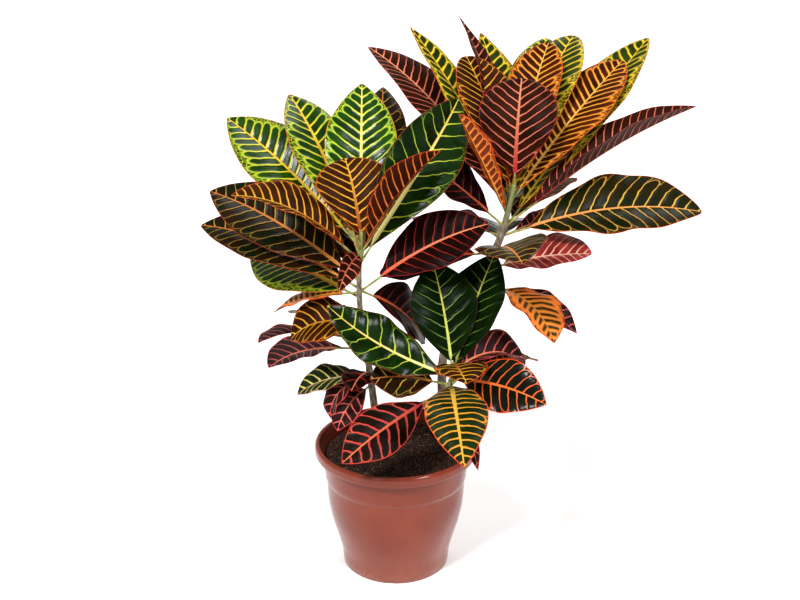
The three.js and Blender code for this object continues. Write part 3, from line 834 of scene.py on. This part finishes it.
def make_leaf(name, stem, row, number, seed):
    """One leaf: a blade with two skins and a midrib, a stalk, and what the finish reads on each point."""
    height, heading, rise, droop, sweep, roll, long, wide, look, own = row
    own = {**USUAL, **own}
    chance = np.random.default_rng(seed)
    steps = max(24, round(long / BLADE_STEP))
    u = np.linspace(0, 1, steps + 1)
    bends = (heading + sweep * u, rise - droop * u**DROOP_GROWS, roll + own["twist"] * u)
    along, across, upper = leaf_axes(*bends)
    node = node_on(stem, height)
    way = (along[1:] + along[:-1]) / 2 * long / steps
    centre = node + along[0] * own["stalk"] + np.vstack([np.zeros(3), np.cumsum(way, axis=0)])
    half = wide / 2 * np.sin(pi * u ** own["peak"]) ** own["full"] + BASE_HALF * (1 - u) + TIP_HALF
    lift = own["wave"] * np.sin(pi * u) * np.sin(tau * WAVES * u + number)

    # Each row of points runs across the blade, from its right margin to its left one.
    t = np.linspace(-1, 1, BLADE_COLUMNS + 1)
    v = (np.sign(t) * np.abs(t) ** COLUMNS_CROWD)[None, :]
    u2, half2, reach, side = u[:, None], half[:, None], np.abs(v), np.sign(v)
    out = half2 * v
    soft = (np.sqrt(v**2 + VALLEY**2) - VALLEY) / (sqrt(1 + VALLEY**2) - VALLEY)
    fold = radians(own["fold"])
    breadth = min(1, wide / BROAD_LEAF)
    rib = own["rib"] * RIB_HALF * (0.35 + 0.65 * breadth) * (1 - RIB_TAPER * u2) * np.minimum(1, half2 / 8)
    # Side ribs leave the midrib every `apart` mm and lean towards the tip.
    apart = FINISHES[look][1].get("apart", USUAL_FINISH["apart"])
    bent = reach * half2 / np.tan(RIB_LEAN) + RIB_CURVE * reach**2 * half2
    shift = chance.uniform(0, 1, 2)
    phase = (long * u2 - bent) / apart + np.where(side > 0, shift[0], shift[1])
    wobble = sum(a * np.sin(tau * k * u2 + p) for (a, k), p in zip(RIPPLES, chance.uniform(0, 6, 3)))
    ripple = own["wave"] * 0.28 * reach**3 * wobble * np.sin(pi * u2)
    puff = PUFF * apart * np.sin(pi * phase) ** 2 * 4 * reach * (1 - reach) * np.minimum(1, half2 / 20)
    middle = (
        half2 * np.sin(fold) * soft
        + CROWN * half2 * (1 - (2 * reach - 1) ** 2)
        + side * reach**1.5 * lift[:, None]
        + side * ripple
        + puff
    )
    spread = centre[:, None, :] + across[:, None, :] * (out * cos(fold))[:, :, None]
    thick = FLAT_LEAF * (1.15 - 0.75 * reach)
    over = middle + thick / 2 + RIB_ABOVE * rib * np.exp(-((out / rib) ** 2))
    under = middle - thick / 2 - RIB_BELOW * np.sqrt(np.maximum(0, rib**2 - out**2))
    skins = [(spread + upper[:, None, :] * h[:, :, None]).reshape(-1, 3) for h in (over, under)]
    blade = blade_faces(steps)

    # The stalk swells where it leaves the stem and runs on under the blade's first few millimetres.
    way = np.linspace(0, 1, STALK_RINGS)
    stalk_radii = STALK_RADIUS * (0.75 + 0.25 * breadth) * (1 + 0.55 * (1 - way) ** 4 + 0.12 * way**6)
    sag = -STALK_SAG * way**2
    stalk_line = node + along[0] * (way * (own["stalk"] + STALK_UNDER))[:, None] + upper[0] * sag[:, None]
    stalk_points, stalk_faces = tube(stalk_line, stalk_radii, STALK_SIDES)
    start = 2 * len(skins[0])
    faces = [*blade, *(tuple(k + start for k in face) for face in stalk_faces)]
    leaf = piece(name, np.vstack([*skins, stalk_points]) * MM, faces, finishes[look], stalk_skin)
    leaf.data.polygons.foreach_set("material_index", [int(k >= len(blade)) for k in range(len(faces))])
    leaf.data.set_sharp_from_angle(angle=radians(50))

    # The phase counts the spaces between side ribs. It starts elsewhere on each leaf, so that few are alike.
    on_both_skins = {
        "phase": phase + PATTERN_SHIFT * (seed % PATTERN_STARTS),
        "reach": reach,
        "cross": np.abs(out) / np.maximum(rib, 0.25),
        "rim": (1 - reach) * half2,
        "along": u2,
        "left": side,
    }
    on_skins = {key: (value, value) for key, value in on_both_skins.items()} | {"lower": (0, 1)}
    for key, pair in on_skins.items():
        parts = [np.broadcast_to(value, phase.shape).ravel() for value in pair]
        made = leaf.data.attributes.new(key, "FLOAT", "POINT")
        values = np.concatenate([*parts, np.zeros(len(stalk_points))])
        made.data.foreach_set("value", values.astype(np.float32))
    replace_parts(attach(leaf, "root"), f"leafy_stem_{stem}")


# One row a leaf, stem by stem: height of its node in mm, heading, rise, droop, sweep and roll in degrees,
# length and width in mm, its finish, and the values in which it differs from USUAL.
LEAVES = {
    "left": [
        # Top tuft.
        (400, 140, 35, 15, 0, -30, 205, 80, "yellow_netted", {"stalk": 30}),
        (395, 120, 50, 25, 0, -5, 200, 70, "yellow_netted", {"rib": 1.4}),
        (400, 90, 55, 10, 0, 0, 175, 80, "pale_netted", {"rib": 1.2}),
        (385, 75, 50, 20, 15, 0, 200, 65, "olive_bronze", {"stalk": 35}),
        (410, 110, 70, 35, 0, -10, 90, 80, "brown_gold", {"stalk": 5, "peak": 1.5, "full": 0.7}),
        (360, 145, 25, 20, 0, -35, 205, 80, "olive_bronze", {}),
        (385, 180, 45, 45, 0, -15, 135, 60, "brown_gold", {"fold": 25}),
        (350, 150, 20, 25, 0, -30, 200, 70, "olive_bronze", {}),
        (338, 133, 6, 15, 0, -40, 178, 78, "yellow_netted", {"rib": 1.3}),
        (390, 10, 60, 20, 0, 25, 130, 50, "brown_orange", {"fold": 45, "stalk": 15}),
        (392, -110, 0, 50, 0, -40, 62, 28, "brown_salmon", {"fold": 40, "stalk": 5}),
        (345, 10, 35, 25, 0, 40, 135, 70, "maroon_red", {"stalk": 30}),
        (348, 35, -30, 35, 0, 40, 105, 80, "maroon_red", {"stalk": 22}),
        (380, 20, 55, 20, 45, 35, 200, 80, "green_yellow", {"twist": 20, "fold": 20, "rib": 1.5}),
        # Lower and older leaves.
        (345, 145, -15, 20, 0, -10, 112, 50, "peach_netted", {}),
        (300, 190, 20, 75, -20, -25, 85, 70, "brown_gold", {"stalk": 5}),
        (280, 160, 5, 40, 0, 25, 110, 55, "purple_salmon", {"stalk": 30}),
        (270, 160, -5, 40, 0, 45, 105, 55, "purple_salmon", {"stalk": 30}),
        (300, 125, -5, 20, 0, 0, 140, 55, "olive_cream", {}),
        (240, -120, 10, 60, 0, 0, 38, 40, "maroon_red", {"stalk": 5}),
        (232, -175, 5, 45, 0, -10, 78, 50, "olive_cream", {"stalk": 12}),
        (232, -150, 0, 110, 0, 0, 68, 36, "purple_salmon", {"stalk": 12}),
        (222, -130, -10, 60, 0, -20, 62, 34, "purple_salmon", {"stalk": 12}),
        # Far side.
        (390, 105, 20, 30, 0, 0, 185, 75, "green_yellow", {}),
        (380, 80, 20, 35, 0, 0, 180, 70, "brown_gold", {}),
        (365, 110, 15, 25, 0, 0, 175, 70, "maroon_red", {}),
        # Sprouts.
        (404, -150, 50, 0, 0, 0, 24, 8, "sprout", {"fold": 30, "stalk": 3}),
        (398, -100, 30, 0, 0, 0, 20, 7, "sprout", {"fold": 30, "stalk": 3}),
    ],
    "right": [
        # Top tuft.
        (420, 150, 55, 30, 0, -10, 235, 80, "brown_salmon", {"stalk": 20, "rib": 1.3}),
        (425, 140, 60, 20, 0, 0, 215, 50, "green_gold", {}),
        (430, 95, 55, 5, 40, 30, 215, 55, "brown_salmon", {}),
        (415, 85, 50, 5, 30, 0, 220, 60, "green_gold", {}),
        (440, 120, 65, 25, 0, 0, 165, 72, "brown_gold", {"stalk": 10, "peak": 1.6, "full": 0.6}),
        (445, 65, 65, 25, 0, 0, 170, 62, "amber_gold", {"stalk": 15, "peak": 1.6, "full": 0.6}),
        (420, 70, 60, 30, 0, 0, 210, 60, "yellow_netted", {"peak": 1.5, "full": 0.65}),
        (415, 60, 60, 35, 0, 0, 230, 75, "green_gold", {"peak": 1.5, "full": 0.65}),
        (395, 35, 45, 5, 0, 0, 260, 90, "green_gold", {"stalk": 35, "peak": 1.3, "full": 0.75}),
        (430, 34, 46, 10, 0, 10, 198, 80, "amber_gold", {"stalk": 20, "peak": 1.5, "full": 0.65, "fold": 8}),
        (
            *(455, 80, 80, 40, 0, 0, 115, 88, "brown_salmon"),
            {"stalk": 10, "peak": 1.4, "full": 0.65, "rib": 1.2},
        ),
        (400, 5, 40, 20, 0, 0, 215, 60, "brown_salmon", {"fold": 40, "stalk": 40}),
        (390, -5, 20, 30, 0, 30, 195, 90, "green_amber", {"stalk": 35, "full": 0.75, "wave": 3}),
        (375, -85, 20, 20, 0, 10, 140, 80, "olive_bronze", {"stalk": 30}),
        (
            *(415, 225, 60, 0, -20, 20, 135, 30, "peach_netted"),
            {"fold": 30, "stalk": 10, "peak": 1.7, "full": 0.6},
        ),
        (402, 178, 42, 10, 0, -25, 108, 70, "maroon_red", {}),
        # Lower and older leaves.
        (350, -20, 20, 15, 0, 15, 105, 72, "crimson", {"stalk": 22, "full": 0.7}),
        (330, -45, 5, 60, -15, -10, 105, 70, "peach_netted", {"wave": 3, "stalk": 32}),
        (335, -10, -20, 20, 0, 20, 100, 45, "purple_salmon", {"fold": 25, "stalk": 30}),
        # Far side.
        (405, 80, 20, 30, 0, 0, 185, 65, "green_yellow", {}),
        (400, 60, 15, 30, 0, 0, 175, 65, "brown_gold", {}),
        (390, 125, 0, 20, 0, 0, 150, 60, "maroon_red", {}),
        (390, 40, 5, 30, 0, 0, 160, 60, "purple_salmon", {}),
        (380, 85, 0, 30, 0, 0, 165, 65, "green_yellow", {}),
        (370, 155, -12, 15, 0, -30, 130, 70, "maroon_red", {}),
    ],
    "low": [
        # Near side.
        (255, 175, 20, -25, 0, -40, 150, 60, "green_yellow", {"stalk": 12, "wave": 3.5}),
        (262, 110, 70, 25, 0, -10, 115, 75, "dark_green", {"stalk": 12, "rib": 0.8}),
        (250, 55, 60, 15, 0, 0, 135, 75, "dark_green", {"stalk": 20, "rib": 0.8}),
        (252, -45, 15, 30, 10, 50, 110, 60, "black_orange", {"stalk": 20}),
        (250, -90, 10, 35, 5, 5, 160, 65, "green_orange", {"rib": 1.4}),
        (240, -145, -15, 15, 0, -35, 115, 56, "black_crimson", {"stalk": 35, "fold": 2, "rib": 1.1}),
        (245, -175, 15, 25, 0, -35, 70, 60, "olive_bronze", {"stalk": 20}),
        (272, -80, 10, 15, 0, 0, 62, 60, "brown_gold", {"stalk": 5}),
        (235, -70, -5, 60, 0, 60, 95, 24, "purple_salmon", {"stalk": 20}),
        (260, 20, 30, 90, 0, 15, 85, 55, "purple_salmon", {"fold": 30, "stalk": 15}),
        # Far side.
        (262, 95, 40, 40, 0, 0, 130, 60, "dark_green", {}),
        (238, 60, 5, 30, 0, 0, 130, 55, "maroon_red", {}),
        (246, 40, 10, 40, 0, 0, 120, 55, "brown_gold", {}),
    ],
}
for stem, leaves in LEAVES.items():
    for number, row in enumerate(leaves):
        seed = 100 * list(LEAVES).index(stem) + number
        make_leaf(f"leaf_{stem}_{number + 1:02}", stem, row, number, seed)
